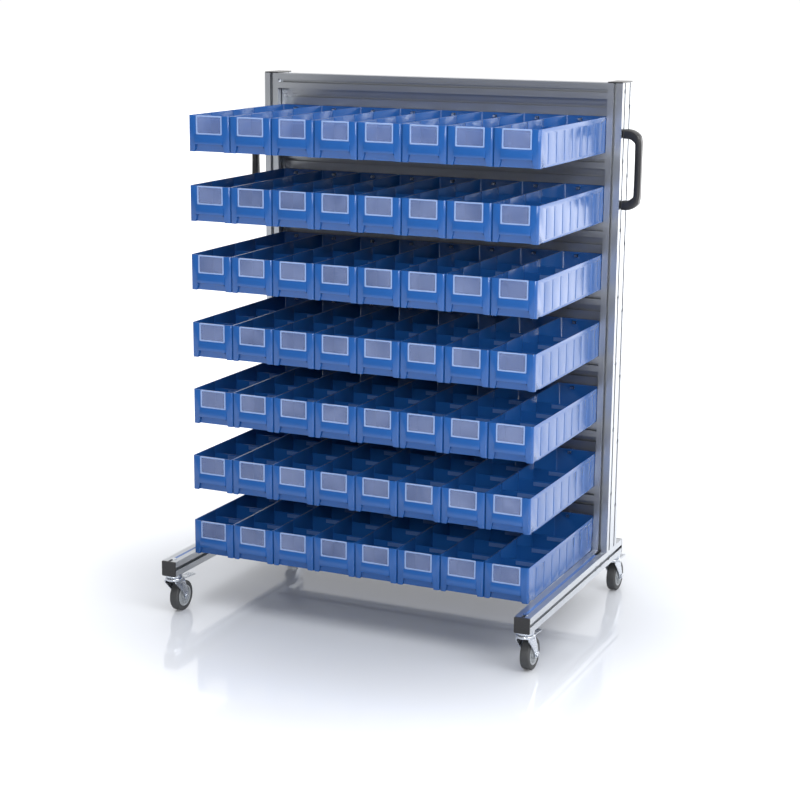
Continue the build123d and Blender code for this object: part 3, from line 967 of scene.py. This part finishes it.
class RACK_OT_casters(bpy.types.Operator):
    """Models one caster and sets it under all four corners"""

    bl_idname = "bin_rack.casters"
    bl_label = "Casters"

    def execute(self, context):
        places = {}
        for corner in CORNERS:
            low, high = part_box(f"{corner}_hub")
            middle = (low + high) / 2
            places[corner] = Vector((middle.x, middle.y - WHEEL[1], middle.z - WHEEL[2]))
        pieces = (
            (model_fork("fork"), "fork", "caster", "zinc_steel"),
            (model_hub("hub"), "hub", "wheel", "hub_plastic"),
            (model_tyre("tyre"), "tyre", "wheel", "grey_tyre"),
            (model_pedal("pedal"), "brake_pedal", "pedal", "zinc_steel"),
        )
        for model, node, body, slot in pieces:
            for corner, place in places.items():
                piece = copy_of(model, f"{corner}_{node}".capitalize(), place)
                stands_for(piece, f"{corner}_{node}", f"{corner}_{body}")
            bpy.data.objects.remove(model)
        for side, hand in ((-1, "left"), (1, "right")):
            model = model_axle("axle", side)
            for corner, place in places.items():
                if corner.endswith(hand):
                    piece = copy_of(model, f"{corner}_axle_bolt".capitalize(), place)
                    stands_for(piece, f"{corner}_axle_bolt", f"{corner}_caster")
            bpy.data.objects.remove(model)
        race = model_race("race")
        races = [copy_of(race, "race", place) for place in places.values()]
        bpy.data.objects.remove(race)
        heads = join("Caster_heads", *races)
        stands_for(heads, "caster_heads", "frame")
        return {"FINISHED"}


# ---- Stage -------------------------------------------------------------------------------------
CAMERA_PLACE = (1.909, -4.202, 1.607)
CAMERA_ANGLES = (24.55, -12.92, 0.46)  # yaw, pitch and roll in degrees
FLOOR_SIZE = 26


def lamp(name, location, target, size, power):
    """A rectangular area light aimed at a point."""
    data = bpy.data.lights.new(name, "AREA")
    data.shape = "RECTANGLE"
    data.size, data.size_y = size
    data.energy = power
    light = bpy.data.objects.new(name, data)
    bpy.context.scene.collection.objects.link(light)
    light.location = location
    aim = Vector(target) - Vector(location)
    light.rotation_euler = aim.to_track_quat("-Z", "Y").to_euler()
    return light


def floor_finish(colour, glow):
    """Glossy pale floor with painted light: it glows more away from the rack, which leaves a painted
    shade round the rack, until it meets the backdrop.
    """
    material = finish("Pale floor", colour, colour * 0.985, (0.05, 0.09), grain=40, bump=0.0)
    nodes, links = material.node_tree.nodes, material.node_tree.links
    shader = nodes["Principled BSDF"]
    shader.inputs["Emission Strength"].default_value = glow
    # painted light and shade: the glow rises with distance from the rack, so the floor near the rack
    # keeps a painted shade
    place = nodes.new("ShaderNodeTexCoord")
    reach = nodes.new("ShaderNodeVectorMath")
    reach.operation = "LENGTH"
    painted_glow_ramp = nodes.new("ShaderNodeMapRange")
    painted_glow_ramp.interpolation_type = "SMOOTHSTEP"
    painted_glow_ramp.inputs["From Min"].default_value = 0.35
    painted_glow_ramp.inputs["From Max"].default_value = 1.7
    links.new(place.outputs["Object"], reach.inputs[0])
    links.new(reach.outputs["Value"], painted_glow_ramp.inputs["Value"])
    links.new(painted_glow_ramp.outputs["Result"], shader.inputs["Emission Color"])
    return material


def studio_world():
    """White behind and to the right of the rack, dimmer in front of it and to the left."""
    world = bpy.data.worlds.new("Studio")
    world.use_nodes = True
    nodes, links = world.node_tree.nodes, world.node_tree.links
    around = nodes.new("ShaderNodeTexCoord")
    slope = nodes.new("ShaderNodeVectorMath")
    slope.operation = "DOT_PRODUCT"
    slope.inputs[1].default_value = (0.30, 0.90, 0.32)
    links.new(around.outputs["Generated"], slope.inputs[0])
    spread = nodes.new("ShaderNodeMapRange")
    spread.interpolation_type = "SMOOTHSTEP"
    spread.inputs["From Min"].default_value = -0.45
    spread.inputs["From Max"].default_value = 0.30
    spread.inputs["To Min"].default_value = 0.24
    spread.inputs["To Max"].default_value = 1.02
    links.new(slope.outputs["Value"], spread.inputs["Value"])
    background = nodes["Background"]
    background.inputs["Color"].default_value = (1, 1, 1, 1)
    links.new(spread.outputs["Result"], background.inputs["Strength"])
    return world


class RACK_OT_stage(bpy.types.Operator):
    """Builds the pale floor, the soft lights and the camera"""

    bl_idname = "bin_rack.stage"
    bl_label = "Stage"

    def execute(self, context):
        values = context.scene.rack_stage
        scene = context.scene
        deselect()
        bpy.ops.mesh.primitive_plane_add(size=FLOOR_SIZE, location=(0, 4, 0))
        floor = settle("Floor")
        colour = Vector(values.floor_colour)
        paint(floor, floor_finish(colour, values.floor_glow))
        scene.world = studio_world()
        middle = (0, 0, 0.65)
        lamp("Panel", (2.5, 4.6, 1.15), (0.4, 0, 0.7), (2.8, 2.3), values.panel_power)
        lamp("Key", (3.4, -1.2, 2.6), middle, (1.8, 2.4), values.key_power)
        lamp("Top", (0.2, -0.6, 4.4), middle, (5.0, 5.0), values.top_power)
        lamp("Fill", (2.2, -5.2, 2.4), middle, (1.2, 1.2), values.fill_power)
        data = bpy.data.cameras.new("Camera")
        data.lens = values.lens
        camera = bpy.data.objects.new("Camera", data)
        scene.collection.objects.link(camera)
        yaw, pitch, roll = (radians(angle) for angle in CAMERA_ANGLES)
        ahead = Vector((-sin(yaw) * cos(pitch), cos(yaw) * cos(pitch), sin(pitch)))
        level = Vector((cos(yaw), sin(yaw), 0))
        up = level.cross(ahead)
        right = level * cos(roll) + up * sin(roll)
        above = up * cos(roll) - level * sin(roll)
        turn = Matrix((right, above, -ahead)).transposed()
        camera.matrix_world = Matrix.Translation(CAMERA_PLACE) @ turn.to_4x4()
        scene.camera = camera
        scene.view_settings.view_transform = "Standard"
        return {"FINISHED"}


class RACK_PT_panel(bpy.types.Panel):
    """Lists the rack's builders in the sidebar"""

    bl_idname = "RACK_PT_panel"
    bl_label = "Bin rack"
    bl_space_type = "VIEW_3D"
    bl_region_type = "UI"
    bl_category = "Bin rack"

    def draw(self, context):
        for operator in OPERATORS:
            self.layout.operator(operator.bl_idname)
        for group in (context.scene.rack_bins, context.scene.bin_rack, context.scene.rack_stage):
            for key in group.bl_rna.properties.keys():
                if key not in ("rna_type", "name"):
                    self.layout.prop(group, key)


OPERATORS = (RACK_OT_bins, RACK_OT_frame, RACK_OT_handles, RACK_OT_casters, RACK_OT_stage)
CLASSES = (BinSettings, RackSettings, StageSettings, *OPERATORS, RACK_PT_panel)


def register():
    for one in CLASSES:
        bpy.utils.register_class(one)
    bpy.types.Scene.rack_bins = PointerProperty(type=BinSettings)
    bpy.types.Scene.bin_rack = PointerProperty(type=RackSettings)
    bpy.types.Scene.rack_stage = PointerProperty(type=StageSettings)


def unregister():
    del bpy.types.Scene.rack_stage
    del bpy.types.Scene.bin_rack
    del bpy.types.Scene.rack_bins
    for one in reversed(CLASSES):
        bpy.utils.unregister_class(one)


def main():
    register()
    bpy.ops.bin_rack.bins()
    bpy.ops.bin_rack.frame()
    bpy.ops.bin_rack.handles()
    bpy.ops.bin_rack.casters()
    bpy.ops.bin_rack.stage()


if __name__ == "__main__":
    main()
